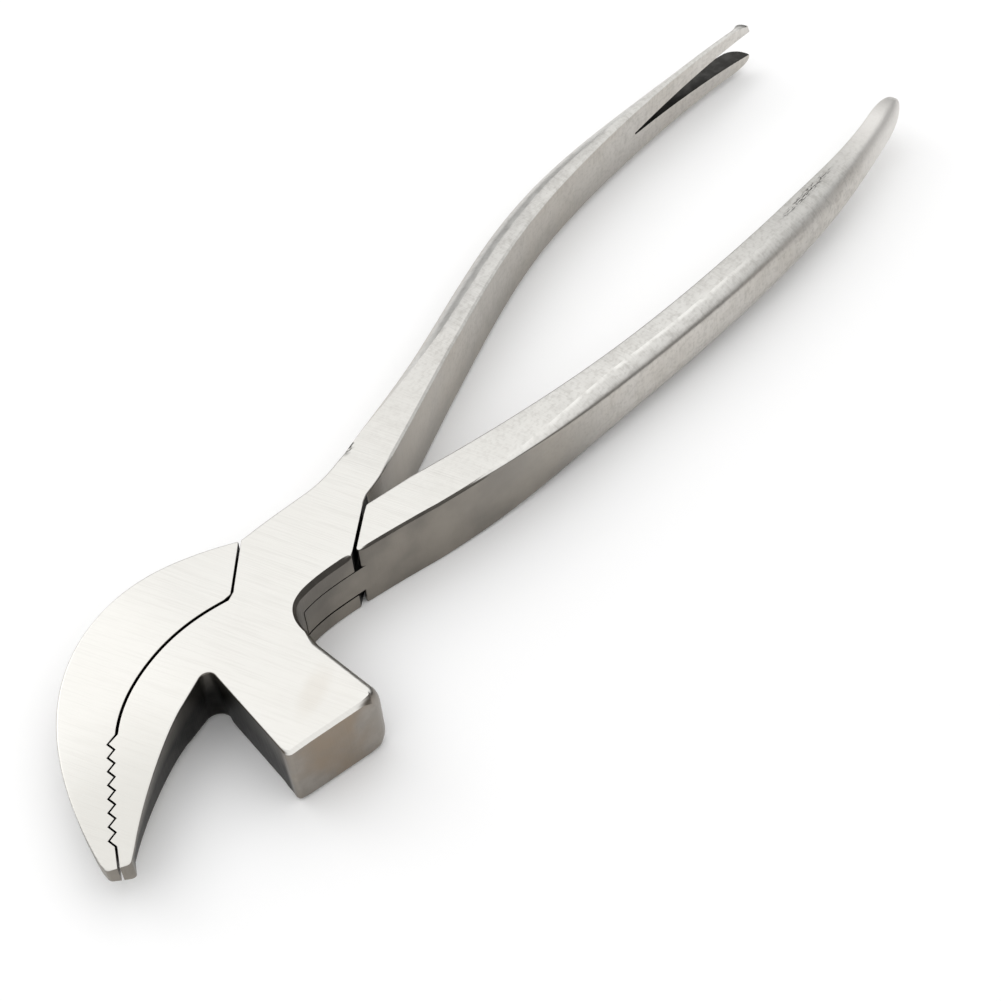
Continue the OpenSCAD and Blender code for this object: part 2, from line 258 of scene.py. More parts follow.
# The seam between the jaws and the teeth that follow it
nose = np.array([-53.8, -14.6])
along = np.array([math.cos(math.radians(TOOTH_DIR)), math.sin(math.radians(TOOTH_DIR))])
inward = np.array([-along[1], along[0]])
nose_dir = unit(np.array([0.64, 0.77]))
nose_across = np.array([-nose_dir[1], nose_dir[0]])
TEETH, PITCH, DEPTH, TOOTH_GAP, SEAM_GAP, NOSE_W = 7, 2.2, 1.0, 0.36, 0.45, 3.5
teeth_end = nose + 3.4*nose_dir
teeth_start = teeth_end - (TEETH + 0.5)*PITCH*along - DEPTH*inward
seam_start = at(JAW_DIR, JAW_SHOULDER + JAW_GAP/2, JAW_IN + 0.9)
seam_end = teeth_start + [1.9, 0]


def seam(side):
    """The seam's curve from the shoulder to the teeth: its middle for 0, the outer jaw's side for 1 and
    the inner jaw's for -1."""
    return bezier(seam_start, seam_start + [-7.5, 2.6], seam_end + [7.8, 6.2], seam_end, 40,
                  side*SEAM_GAP/2)


def teeth(side):
    """The zigzag that goes on from it: point k lies k/2 pitches along the row, and every second one a
    tooth's depth across."""
    k = np.arange(2*TEETH + 2)[:, None]
    return teeth_start + k/2*PITCH*along + (k % 2)*DEPTH*inward - side*TOOTH_GAP/2*inward


# Corners of the box and the hammer
jaw_out_corner, jaw_in_corner = at(JAW_DIR, JAW_SHOULDER, -JAW_OUT), at(JAW_DIR, JAW_SHOULDER, JAW_IN)
handle_in_corner = at(HANDLE_DIR, HANDLE_SHOULDER, -HANDLE_IN)
handle_out_corner = at(HANDLE_DIR, HANDLE_SHOULDER, HANDLE_OUT)
fillet_top = np.array([-6, -6.5])
HAMMER_OUT, HAMMER_SIDE, HAMMER_W, ROOT_OUT, ROOT_W = 29.8, 22, 17, 13.5, 14.8
hammer_corner = at(HAMMER_DIR, HAMMER_OUT, -HAMMER_SIDE)
hammer_far = at(HAMMER_DIR, HAMMER_OUT, HAMMER_W - HAMMER_SIDE)
hammer_root = at(HAMMER_DIR, ROOT_OUT, ROOT_W - HAMMER_SIDE)
throat_corner, throat_jaw = np.array([-23.4, -3.6]), np.array([-30, -5])
throat_side, hammer_face = hammer_corner - throat_corner, hammer_far - hammer_corner
nose_inner, nose_outer = nose - NOSE_W/2*nose_across, nose + NOSE_W/2*nose_across

# Middle lines and widths of the handles, by the distance x from the pivot
notched_mid, notched_end = np.array([90, 20.9]), np.array([146.7, 18.1])
notched_line = np.vstack([
    bezier([8, 0.3], [53, 11.8], notched_mid - [23.5, 1.6], notched_mid, 60),
    bezier(notched_mid, notched_mid + [19.3, 1.3], notched_end + [-13.2, 2.2], notched_end, 44,
           to_tip=True)[1:]])
plain_mid, plain_end = np.array([92, -19.3]), np.array([146.6, -15.6])
plain_line = np.vstack([
    bezier([4, -3.3], [35, -13.4], plain_mid + [-33, 1.7], plain_mid, 60),
    bezier(plain_mid, plain_mid + [30, -1.3], plain_end - [11.3, 2.3], plain_end, 50, to_tip=True)[1:]])
NECK_W, GRIP_W, PRONG_W, PLAIN_TIP_W, GRIP_T, PRONG_T = 7.8, 6.2, 3.6, 4.2, 9.7, 10


def grip_width(x, to):
    """Width that eases from the neck's to the grip's between 12 mm out and the distance to."""
    return NECK_W + (GRIP_W - NECK_W)*ease(12, to, x)


def notched_width(x):
    """Width of the notched handle, which eases from the grip's to the prongs'."""
    w = grip_width(x, 48)
    return w + (PRONG_W - w)*ease(74, 146, x)


def plain_width(x):
    """Width of the plain handle, which eases from the grip's to the tip's."""
    w = grip_width(x, 72)
    return w + (PLAIN_TIP_W - w)*ease(108, 138, x)


def grip_height(x):
    """Thickness that falls straight from the body's at 18 mm out to the grip's 64 mm further on."""
    return BODY + (GRIP_T - BODY)*np.clip((x - 18)/64, 0, 1)


def tip_round(x, end, length, least=0.03):
    """Share of the width left near a tip: the root of 1 - u^2, or of least where that is more, with u
    the way through the last length."""
    u = np.clip((x - end + length)/length, 0, 1)
    return np.sqrt(np.maximum(least, 1 - u*u))


def edges_of(line, width):
    """Both edges of a handle: its middle line moved to the left and right by half its width."""
    run = np.gradient(line, axis=0)
    run /= np.linalg.norm(run, axis=1)[:, None]
    side = np.column_stack([-run[:, 1], run[:, 0]])*width[:, None]/2
    return line + side, line - side


PRONG_ROUND = 3.6
left_edge, right_edge = edges_of(notched_line, notched_width(notched_line[:, 0]))
prong_share = tip_round(notched_line[:, 0], notched_end[0], PRONG_ROUND)
left_edge = right_edge + (left_edge - right_edge)*prong_share[:, None]
keep = notched_line[:, 0] > 18
left_edge, right_edge = left_edge[keep], right_edge[keep]

# The upper edge's profile is a quadratic spline with six control points. The first
# and the last are its ends. These are the four between them, each as shares of the
# edge's inset and drop: for a quarter ellipse, a flat chamfer, a slanted flank and
# a steeper one.
ROUND = np.array([0.80, 0, 0.43, 0.15, 0.15, 0.43, 0, 0.80])
FLAT = np.array([0.8, 0.2, 0.6, 0.4, 0.4, 0.6, 0.2, 0.8])
SLANT = np.array([0.78, 0.06, 0.50, 0.17, 0.20, 0.38, 0.04, 0.62])
STEEP = np.array([0.80, 0.13, 0.56, 0.32, 0.32, 0.52, 0.11, 0.70])


def notched_outside(x):
    """Edges of the notched handle's outer side: square at the joint, slanted over the grip, and
    at the prongs steep above and squarer below."""
    grip, prong = ease(17, 62, x), ease(88, 130, x)
    width = notched_width(x)
    left = width*tip_round(x, notched_end[0], PRONG_ROUND)
    inset = 0.35 + (0.62*width - 0.35)*grip + 0.22*width*prong
    drop = 0.6 + (0.98*MID - 0.6)*ease(16, 68, x)
    low_inset = 0.35 + (0.5*width - 0.35)*grip*(1 - 0.6*prong)
    low_drop = 0.6 + (0.98*MID - 0.6)*ease(16, 46, x)*(1 - 0.7*prong)
    shape = FLAT + np.outer(grip, SLANT - FLAT) + np.outer(prong, STEEP - SLANT)
    most = np.maximum(0.05, left - 0.6)
    return np.column_stack([
        np.minimum(inset, most), drop, np.minimum(low_inset, most), low_drop, 0*x, shape])


# Each stretch of outline has its points and its edge sizes: inset and drop of the
# upper edge, inset and drop of the lower edge, how far the wall leans in on its way
# down, and 1 for a flat chamfer or 0 for a round upper edge. A function in their
# place gives the sizes along x.
CRISP, EASED, SOFT = (0.12, 0.12, 0.2, 0.2, 0, 0), (0.2, 0.2, 0.3, 0.3, 0, 0), (0.35, 0.35, 0.5, 0.5, 0, 0)
SEAM_EDGE, TOOTH_EDGE = (0.14, 0.14, 0.2, 0.2, 0, 0), (0.1, 0.12, 0.1, 0.12, 0, 0)
NOSE_EDGE = (0.25, 0.5, 0.25, 0.5, 0, 0)
THROAT = (0.3, 0.35, 1.0, 1.4, 0.6, 0)
throat_wall = np.linspace(throat_corner + 0.15*throat_side, throat_corner + 0.80*throat_side, 14)
throat_end = np.linspace(throat_corner + 0.84*throat_side, throat_corner + 0.93*throat_side, 4)
struck_side = np.linspace(hammer_corner + 0.12*hammer_face, hammer_corner + 0.86*hammer_face, 10)
cheek_side = bezier(fillet_top, fillet_top + [3, 0.4], handle_in_corner + [-3, 0.7], handle_in_corner, 24)
hammer_flank = hammer_root - hammer_far
box_outline = [
    (np.linspace(handle_in_corner, handle_out_corner, 12)[:-1], CRISP),
    (np.array([handle_out_corner]), (0.3, 0.3, 0.3, 0.3, 0, 0)),
    (bezier([14.9, -1.5], [15.8, -1.35], right_edge[0] - [1.2, 0.4], right_edge[0], 6), SOFT),
    (right_edge[1:], (0.38, 0.26, 0.4, 0.4, 0, 1)),
    (left_edge[-1:0:-1], notched_outside),
    (bezier(left_edge[0], left_edge[0] - [2, 0.3], [13.5, 6.2], [11, 6.4], 8), SOFT),
    (bezier([11, 6.4], [8, 6.7], [2, 8.0], jaw_out_corner, 12)[1:-1], SOFT),
    (rounded([0, 8.1], jaw_out_corner, jaw_in_corner, 0.3, 3), EASED),
    (np.linspace(jaw_out_corner, jaw_in_corner, 11)[1:-1], CRISP),
    (rounded(jaw_out_corner, jaw_in_corner, seam(-1)[1], 0.7), (0.15, 0.15, 0.3, 0.3, 0, 0)),
    (seam(-1)[1:], SEAM_EDGE),
    (teeth(-1), TOOTH_EDGE),
    (np.array([nose - TOOTH_GAP/2*nose_across]), TOOTH_EDGE),
    (rounded(nose, nose_inner, nose_inner + [6, 3.7], 0.8), NOSE_EDGE),
    (bezier(nose_inner + [2.1, 1.3], [-44, -10], [-34, -5.6], throat_jaw, 30), THROAT),
    (rounded(throat_jaw, throat_corner, hammer_corner, 1.4, 12), THROAT),
    (throat_wall, (0.3, 0.35, 0.8, 1.0, 0.4, 0)),
    (throat_end, (0.3, 0.35, 0.65, 0.9, 0.3, 0)),
    (rounded(throat_corner, hammer_corner, hammer_far, 1.0, 8), (0.6, 0.42, 0.5, 0.8, 0.2, 1)),
    (struck_side, (0.62, 0.42, 0.8, 0.9, 0.05, 1)),
    (rounded(hammer_corner, hammer_far, hammer_root, 2.0, 12), (1.5, 3.4, 1.4, 3.4, 0, 0)),
    (np.linspace(hammer_far + 0.2*hammer_flank, hammer_root, 6)[:-1], (1.5, 3.6, 1.4, 3.5, 0, 0)),
    (bezier(hammer_root, hammer_root + [0.4, 2.8], fillet_top + [-2.1, -0.2], fillet_top, 14),
     (0.5, 0.64, 0.5, 0.7, 0, 1)),
    (cheek_side[1:-1], (0.62, 0.80, 0.3, 0.4, 0, 1)),
]
CLOSEST, SPREAD = 0.05, 0.7


def walk(stretches):
    """Joins the stretches into one closed line of points with the edge sizes beside them, and drops
    points closer than CLOSEST. The sizes are then averaged along the line, with the weight
    exp(-(distance/SPREAD)^2)."""
    points = np.vstack([line for line, size in stretches])
    sizes = np.vstack([
        size(line[:, 0]) if callable(size)
        else np.tile((*size[:5], *(FLAT if size[5] else ROUND)), (len(line), 1))
        for line, size in stretches])
    gap = np.linalg.norm(points - np.roll(points, 1, axis=0), axis=1)
    points, sizes = points[gap > CLOSEST], sizes[gap > CLOSEST]
    gap = np.linalg.norm(points - np.roll(points, 1, axis=0), axis=1)
    place = np.cumsum(gap)
    apart = np.abs(place[:, None] - place[None, :])
    apart = np.minimum(apart, place[-1] - apart)
    weight = np.exp(-(apart/SPREAD)**2)*gap[None, :]
    return points, weight @ sizes/weight.sum(1)[:, None]


LEAST_MITRE = 0.35


def plate(points, sizes):
    """Rim of a flat forging of thickness BODY, carried round its outline. The rim's profile is the
    spline from the upper flat to the wall, the wall, and a quarter ellipse to the lower flat. Each
    profile point lies its own inset inside the outline, along the mitred normal."""
    back, on = points - np.roll(points, 1, axis=0), np.roll(points, -1, axis=0) - points
    back /= np.linalg.norm(back, axis=1)[:, None]
    on /= np.linalg.norm(on, axis=1)[:, None]
    n1, n2 = np.column_stack([-back[:, 1], back[:, 0]]), np.column_stack([-on[:, 1], on[:, 0]])
    mitre = (n1 + n2)/np.maximum(LEAST_MITRE, 1 + (n1*n2).sum(1))[:, None]
    a = np.radians(np.linspace(0, 90, 9))
    t = np.linspace(0, 1, 5)[:, None]
    s = 1 - t
    inset_up, drop_up, inset_low, drop_low, lean = (size[:, None] for size in sizes[:, :5].T)
    first, last = np.tile([1, 0], (len(sizes), 1)), np.tile([0, 1], (len(sizes), 1))
    b, c, d, e = (sizes[:, k:k + 2] for k in (5, 7, 9, 11))
    bc, cd, de = (b + c)/2, (c + d)/2, (d + e)/2
    arcs = ((first, b, bc), (bc, c, cd), (cd, d, de), (de, e, last))
    shares = np.hstack([(s*s*p[:, None] + 2*s*t*q[:, None] + t*t*r[:, None])[:, skip:]
                        for skip, (p, q, r) in zip((0, 1, 1, 1), arcs)])
    in_share, down_share = shares[:, :, 0], shares[:, :, 1]
    inset = np.hstack([inset_up*in_share, lean*0.5, lean + inset_low*(1 - np.cos(a))])
    middle = 0.5*(BODY - drop_up + drop_low)
    height = np.hstack([BODY - drop_up*down_share, middle, drop_low*(1 - np.sin(a))])
    xy = points[:, None, :] + inset[:, :, None]*mitre[:, None, :]
    return np.dstack([xy, height])


def inside(loop, p):
    """True where a ray towards +X from p crosses the loop an odd number of times."""
    a, b = loop, np.roll(loop, -1, axis=0)
    spans = (a[None, :, 1] > p[:, None, 1]) != (b[None, :, 1] > p[:, None, 1])
    rise = np.where(b[:, 1] == a[:, 1], 1e-9, b[:, 1] - a[:, 1])
    cross = a[None, :, 0] + (p[:, None, 1] - a[None, :, 1])*((b - a)[:, 0]/rise)[None, :]
    return (spans & (cross > p[:, None, 0])).sum(1) % 2 == 1


def flat_fill(loop, step):
    """Triangles over the area inside a loop, with inner points on a square grid of the given step."""
    low, high = loop.min(0), loop.max(0)
    x, y = np.meshgrid(np.arange(low[0], high[0], step), np.arange(low[1], high[1], step))
    grid = np.column_stack([x.ravel(), y.ravel()])
    grid = grid[inside(loop, grid)]
    near = np.linalg.norm(grid[:, None, :] - loop[None, :, :], axis=2).min(1)
    grid = grid[near > 0.45*step]
    n = len(loop)
    corners = [Vector(p) for p in np.vstack([loop, grid])]
    ring = [(i, (i + 1) % n) for i in range(n)]
    made = delaunay_2d_cdt(corners, ring, [], 1, 1e-6)
    return np.array([tuple(v) for v in made[0]]), [tuple(f) for f in made[2]]


def closed_mesh(name, verts, faces, join=None):
    """A mesh of points in millimetres with all its faces turned outwards. Points that lie closer than
    join metres are first made one."""
    mesh = bpy.data.meshes.new(name)
    mesh.from_pydata((verts*MM).tolist(), [], faces)
    work = bmesh.new()
    work.from_mesh(mesh)
    if join:
        bmesh.ops.remove_doubles(work, verts=work.verts, dist=join)
    bmesh.ops.recalc_face_normals(work, faces=work.faces)
    work.to_mesh(mesh)
    work.free()
    return mesh


def forging(name, points, sizes, thin, step=2.2):
    """A closed mesh: rim, upper fill and lower fill, with z squeezed about the middle plane by
    thin(x, y)."""
    rim = plate(points, sizes)
    n, m = rim.shape[:2]
    index = np.arange(n*m).reshape(n, m)
    right_of = np.roll(index, -1, axis=0)
    quads = np.stack([index[:, :-1], index[:, 1:], right_of[:, 1:], right_of[:, :-1]], axis=-1)
    verts, faces = [rim.reshape(-1, 3)], quads.reshape(-1, 4).tolist()
    for column, flip in ((0, False), (m - 1, True)):
        loop = rim[:, column, :2]
        xy, tris = flat_fill(loop, step)
        base = sum(len(v) for v in verts)
        verts.append(np.column_stack([xy, np.full(len(xy), rim[0, column, 2])]))
        faces += [tuple(base + i for i in (t[::-1] if flip else t)) for t in tris]
    verts = np.vstack(verts)
    verts[:, 2] = MID + (verts[:, 2] - MID)*thin(verts[:, 0], verts[:, 1])
    return closed_mesh(name, verts, faces, 2e-6)


def block(name, first, last):
    """A closed block between two rings of n points: side k has points k and k + 1 of both."""
    n = len(first)
    k = np.arange(n)
    sides = np.column_stack([k, (k + 1) % n, (k + 1) % n + n, k + n]).tolist()
    return closed_mesh(name, np.vstack([first, last]), sides + [k[::-1].tolist(), (k + n).tolist()])


def prism(name, loop, low, high):
    """A straight-sided block over a closed line of points, from low to high."""
    return block(name, *(np.column_stack([loop, np.full(len(loop), z)]) for z in (low, high)))


def worked(mesh, *steps):
    """The mesh after each (operation, tool mesh) of steps, such as a cut or a join."""
    for operation, tool in steps:
        part, other = bpy.data.objects.new("part", mesh), bpy.data.objects.new("tool", tool)
        scene.collection.objects.link(part)
        scene.collection.objects.link(other)
        change = part.modifiers.new("change", "BOOLEAN")
        change.operation, change.object, change.solver = operation, other, "EXACT"
        made = bpy.data.meshes.new_from_object(part.evaluated_get(bpy.context.evaluated_depsgraph_get()))
        for o in (part, other):
            bpy.data.objects.remove(o)
        mesh = made
    return mesh


def leave_scale(mesh):
    """Marks where black forge scale is left: on the throat's wall, most in its corner and fading
    towards the nose, on the faces of the slot and the notch, and on the walls that face each other
    across the seam and the shoulders. The throat's share is worked out at the points, from their
    distance to its line, and the others for whole faces, from their middle and direction."""
    x, y, z = coordinates(mesh)
    xy = np.column_stack([x, y])
    jaw_wall = bezier(nose_inner + [2.1, 1.3], [-44, -10], [-34, -5.6], throat_jaw, 60)
    throat = np.vstack([jaw_wall, rounded(throat_jaw, throat_corner, hammer_corner, 1.4, 8),
                        np.linspace(throat_corner, hammer_corner, 60)[8:]])
    to_throat = np.linalg.norm(throat[None, :, :] - xy[:, None, :], axis=2)
    on_jaw = to_throat.argmin(1) < len(jaw_wall)

    # All of it within 1.3 mm of the throat's line, but little towards the nose, slightly
    # less with the way from the corner, and none at the hammer's corner or at the flats
    away = np.linalg.norm(xy - throat_corner, axis=1)
    share = 1 - ease(1.3, 1.9, to_throat.min(1))
    share *= 1 - 0.85*ease(29, 35, away)*on_jaw
    share *= 1 - 0.07*ease(4, 22, away)
    share *= ease(1.2, 1.8, np.linalg.norm(xy - hammer_corner, axis=1))
    share *= ease(0.15, 0.5, MID*jaw_share(x, y) - np.abs(z - MID))

    count = len(mesh.polygons)
    centre, normal, loops = np.empty(3*count), np.empty(3*count), np.empty(count, int)
    mesh.polygons.foreach_get("center", centre)
    mesh.polygons.foreach_get("normal", normal)
    mesh.polygons.foreach_get("loop_total", loops)
    centre, normal = centre.reshape(-1, 3)/MM, normal.reshape(-1, 3)
    upright = np.abs(normal[:, 2]) < 0.3

    # Upright faces within 1 mm of the seam, but not at the nose
    seam_line = np.vstack([seam(0), teeth(0)])
    to_seam = np.linalg.norm(seam_line[None, :, :] - centre[:, None, :2], axis=2).min(1)
    dark = upright & (to_seam < 1.0) & (centre[:, :2] @ nose_dir > nose @ nose_dir + 0.6)

    # Upright faces at a shoulder that look along its direction
    for direction, out, left in ((HANDLE_DIR, HANDLE_SHOULDER + HANDLE_GAP/2, HANDLE_OUT/2),
                                 (JAW_DIR, JAW_SHOULDER + JAW_GAP/2, JAW_IN/2)):
        way = at(direction, 1, 0)
        along_way = centre[:, :2] @ way
        dark |= upright & (np.abs(along_way - out) < 0.5) & (np.abs(normal[:, :2] @ way) > 0.8) & (
            np.linalg.norm(centre[:, :2] - at(direction, out, left), axis=1) < 7)

    # Level faces inside the joint, and those of the notch, which are slightly less dark
    level = (np.abs(normal[:, 2]) > 0.9) & (np.abs(centre[:, 2] - MID) < 3.4)
    dark |= level & (np.abs(centre[:, 0]) < 18)
    notched = 0.92*(level & (centre[:, 0] > notch_x) & (centre[:, 1] > 0))

    corner_point = np.empty(len(mesh.loops), int)
    mesh.loops.foreach_get("vertex_index", corner_point)
    on_corners = np.maximum(share[corner_point], np.repeat(np.maximum(dark, notched), loops))
    layer = mesh.attributes.new("forge_scale", "FLOAT", "CORNER")
    layer.data.foreach_set("value", on_corners.astype(np.float32))


def coordinates(mesh):
    """X, Y and Z of the mesh's points in millimetres."""
    flat = np.empty(3*len(mesh.vertices))
    mesh.vertices.foreach_get("co", flat)
    return flat.reshape(-1, 3).T/MM


def piece(name, mesh, body, node, sharp=28):
    """Puts the mesh in the scene as a named steel piece that rides on its body and stands for its
    solid. Edges sharper than the given angle in degrees stay sharp."""
    mesh.name = name
    work = bmesh.new()
    work.from_mesh(mesh)
    bmesh.ops.remove_doubles(work, verts=work.verts, dist=1e-6)
    bmesh.ops.triangulate(work, faces=[f for f in work.faces if len(f.verts) > 4])
    work.to_mesh(mesh)
    work.free()
    mesh.shade_smooth()
    mesh.set_sharp_from_angle(angle=math.radians(sharp))
    leave_scale(mesh)
    made = bpy.data.objects.new(name, mesh)
    scene.collection.objects.link(made)
    smooth = made.modifiers.new("even_shading", "WEIGHTED_NORMAL")
    smooth.keep_sharp = True
    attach(made, body)
    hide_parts(node)
    mesh.materials.append(steel.material)


TAPER = math.radians(165)
taper_dir = np.array([math.cos(TAPER), math.sin(TAPER)])
TAPER_START, NOSE_T, BLEND = 21.0, 3.2, 60.0
taper_len = nose @ taper_dir - TAPER_START
ramp = math.atan((BODY - NOSE_T)/2/taper_len)


def jaw_share(x, y):
    """Share of the full thickness left in the jaws: 1 near the joint, then an arc of radius BLEND, then
    a ramp to the nose."""
    u = x*taper_dir[0] + y*taper_dir[1] - TAPER_START
    run = BLEND*math.tan(ramp/2)
    s = np.clip(u + run, 0, 2*run)
    bend = BLEND - np.sqrt(BLEND**2 - np.minimum(s, BLEND*math.sin(ramp))**2)
    fall = np.where(u + run > BLEND*math.sin(ramp), u*math.tan(ramp), bend)
    return 1 - 2*np.maximum(fall, 0)/BODY


def box_share(x, y):
    """Share left in the box half: the jaws' as far as 14 mm out, and beyond that the grip's height,
    eased to the prongs' and thinned in the last 5 mm."""
    h = grip_height(x)
    h = (h + (PRONG_T - h)*ease(90, 130, x))*(0.64 + 0.36*tip_round(x, notched_end[0], 5))
    return np.where(x > 14, h/BODY, jaw_share(x, y))


points, sizes = walk(box_outline)
box_mesh = forging("box_half_forging", points, sizes, box_share)

slot_r = TONGUE_R + SLOT_PLAY


def arm_reach(direction, right_side):
    """Mouth of the slot: the arm's right side at the open stop, a corner half way, and its left side
    when closed."""
    return np.array([at(direction - STOP, ARM_REACH, -right_side), at(direction - STOP/2, ARM_CORNER, 0),
                     at(direction, ARM_REACH, slot_r)])


def meets(r, side):
    """Angle in degrees at which a line that far beside the pivot meets a circle of radius r."""
    return math.degrees(math.asin(side/r))


slot_outline = np.vstack([
    arc(slot_r, JAW_DIR + 90 - 360, HANDLE_DIR - STOP - meets(slot_r, HANDLE_IN + SLOT_PLAY)),
    arm_reach(HANDLE_DIR, HANDLE_IN + SLOT_PLAY),
    arc(slot_r, HANDLE_DIR + 90, JAW_DIR - STOP - meets(slot_r, JAW_OUT + SLOT_PLAY)),
    arm_reach(JAW_DIR, JAW_OUT + SLOT_PLAY)])
slot_block = prism("slot", slot_outline, SLOT_LOW, SLOT_HIGH)

NOTCH_END, NOTCH_L, NOTCH_W, NOTCH_R = 146.6, 34.2, 5.35, 0.22
notch_x = NOTCH_END - NOTCH_L


def notch_block():
    """The wedge cut between the prongs, straight through the handle along Y. Half its height grows in
    proportion to x, from a small round at its root."""
    a = np.radians(np.linspace(-80, 80, 7))
    root = np.column_stack([notch_x + 0.8 - NOTCH_R*np.cos(a), NOTCH_R*np.sin(a)])
    end = np.array([NOTCH_L + 2, NOTCH_W/2*(NOTCH_L + 2)/NOTCH_L])
    side = np.vstack([root, [notch_x, 0] + end, [notch_x, 0] + end*[1, -1]])
    near_side = np.column_stack([side[:, 0], np.full(len(side), 6.0), MID + side[:, 1]])
    return block("notch", near_side, near_side + [0, 24, 0])


RIVET_R, HEAD_R, HEAD_T = 3.0, 4.0, 1.2


def turned(name, profile, n=96):
    """A profile of (radius, height) turned round the Z axis, closed by its first and last ring."""
    a = np.linspace(0, 2*np.pi, n, endpoint=False)
    r, z = np.array(profile, float).T
    verts = np.stack([r[:, None]*np.cos(a), r[:, None]*np.sin(a), z[:, None] + 0*a], axis=-1)
    verts = verts.reshape(-1, 3)
    index = np.arange(len(r)*n).reshape(len(r), n)
    on = np.roll(index, -1, axis=1)
    faces = np.stack([index[:-1], on[:-1], on[1:], index[1:]], axis=-1).reshape(-1, 4).tolist()
    return closed_mesh(name, verts, faces + [index[0][::-1].tolist(), index[-1].tolist()])


rivet_profile = [(HEAD_R, 0), (RIVET_R, HEAD_T), (RIVET_R, BODY - HEAD_T), (HEAD_R, BODY)]
hole_r = 2*HEAD_R - RIVET_R
hole_profile = [(hole_r, -HEAD_T), *rivet_profile[1:3], (hole_r, BODY + HEAD_T)]
slot_heel = prism("slot_heel", np.vstack([arc(HEEL_R, -190, -57), [[0, 0]]]), SLOT_LOW, SLOT_HIGH)
box_mesh = worked(box_mesh, ("DIFFERENCE", slot_block), ("DIFFERENCE", slot_heel),
                  ("DIFFERENCE", notch_block()), ("DIFFERENCE", turned("rivet_hole", hole_profile)))

# Its finish, which the other half and the rivet share: bare carbon steel, surface-ground
# in slanting strokes on the jaws and the joint and belt-ground across the handles, with
# black forge scale where the belt didn't reach. Its sides are darker than the flats, partly
# by their own duller finish and partly as painted shade, and painted light and shade lie
# in its colour at the places marked below.
steel = Sheet("satin_steel")
where = steel.node("ShaderNodeTexCoord", out="Object")
normal = steel.node("ShaderNodeNewGeometry", out="Normal")
slope = abs(steel.coordinate(normal, "Z"))
flatness = slope.step(0.62, 0.82)
turned_down = slope.step(0.30, 0.50)*(1 - slope.step(0.70, 0.90))
x_place, y_place = steel.coordinate(where, "X"), steel.coordinate(where, "Y")
# Height above the floor, which the sides' painted shade follows
raised = steel.coordinate(where, "Z").step(0.0005, 0.009)

# Places on the tool: along X and Y in metres, and about a point in millimetres
# Painted shade: the sides on the -Y side, out to the grip, painted darker as if the floor beside them lay
# in shadow
joint_side_shade = (1 - y_place.step(-0.005, -0.002))*(1 - x_place.step(0.010, 0.075))
on_handle = x_place.step(0.010, 0.055)
on_plain = 1 - y_place.step(-0.002, 0.002)
# Painted light: the handles' sides painted lighter far out and on the plain handle's outer grip, as if
# less shaded
outer_grip = x_place.step(0.040, 0.060)*(1 - y_place.step(-0.016, -0.010))
far_side_light = ((0.6 + 0.4*on_plain)*x_place.step(0.070, 0.140)).larger(0.45*outer_grip)
matte = on_plain*x_place.step(0.076, 0.112)
# Painted light: the plain handle's tip painted lighter
plain_tip = on_plain*x_place.step(0.118, 0.138)
# Painted shade: the flats painted darker towards the nose
near_nose = steel.near(where, (-52, -13, 6), (30, 24, 20))
# Painted shade: the upright faces in the throat's corner painted darker
throat_shade = steel.near(where, (-22, -11, 5), (15, 9, 9), 40)

# Grinding strokes and clouding
stroke = steel.noise(where, (0.22, 9, 9), 3, 12)
cross = steel.noise(where, (0.24, 3.0, 3.0))
cloud = steel.noise(where, (14, 14, 14), 4)
mottle = steel.noise(where, (2.2, 2.2, 2.2), 4)
speckle = steel.noise(where, (0.8, 0.6, 0.6))
grain = (1 - on_handle)*stroke + on_handle*(0.5*cross + 0.5*mottle)
# Painted highlight: a bright band on the handles' slightly tilted tops, broken up by mottle
highlight_band = on_handle*slope.step(0.89, 0.94)*(1 - slope.step(0.975, 0.995))*mottle.step(0.30, 0.62)

# Marks of use: a row of pits on the plain handle, a nick on the notched one, a pit in
# the throat, a smudge on the hammer's flat and the tan of its struck face, whose darkness
# is painted shade
row = steel.near(where, (112.6, -18.1, 10), (11, 0.75, 2.5), 2)
row = row*steel.noise(where, (1.0, 0.18, 0.3), 2).step(0.52, 0.59)
nick = steel.near(where, (21, 7.4, 12.3), (2.8, 1.1, 0.9), 18)
nick = nick*steel.noise(where, (1.8, 0.8, 1.2), 2).step(0.42, 0.55)
pits = row.larger(nick).larger(steel.near(where, (-24.2, -10.9, 1.0), (0.9, 0.9, 0.9)))
smudge = steel.near(where, (-17.5, -19.5, 12.5), (7, 2.6, 2), 20)*cloud.step(0.38, 0.60)
struck = steel.near(where, (-20, -26.5, 7), (24, 5, 14), -13.5)*(0.75 + 0.25*mottle.step(0.35, 0.65))
scale_left = steel.node("ShaderNodeAttribute", {"attribute_name": "forge_scale"}, out="Fac")

# Colours of the ground flats and the sides, of the painted light and shade, of the stains and strokes, and
# of the marks
TOP, HANDLE_TOP = (0.665, 0.655, 0.625, 1), (0.61, 0.60, 0.575, 1)
SIDE, SHADED_LOW_SIDE = (0.50, 0.475, 0.44, 1), (0.33, 0.31, 0.28, 1)
SHADED_SIDE, LIT_SIDE = (0.16, 0.148, 0.132, 1), (0.78, 0.76, 0.73, 1)
SHADED_CHAMFER, SHADED_NOSE_TOP, TIP = (0.09, 0.082, 0.074, 1), (0.46, 0.45, 0.42, 1), (0.84, 0.82, 0.79, 1)
SCALE, SHADED_THROAT, PIT = (0.009, 0.0088, 0.008, 1), (0.05, 0.047, 0.045, 1), (0.04, 0.037, 0.033, 1)
STAIN, STREAK, HIGHLIGHT = (0.52, 0.47, 0.40, 1), (0.27, 0.255, 0.23, 1), (0.80, 0.79, 0.76, 1)
STRUCK_SHADE, SHADED_STRUCK_TAN = (0.32, 0.295, 0.265, 1), (0.29, 0.235, 0.18, 1)
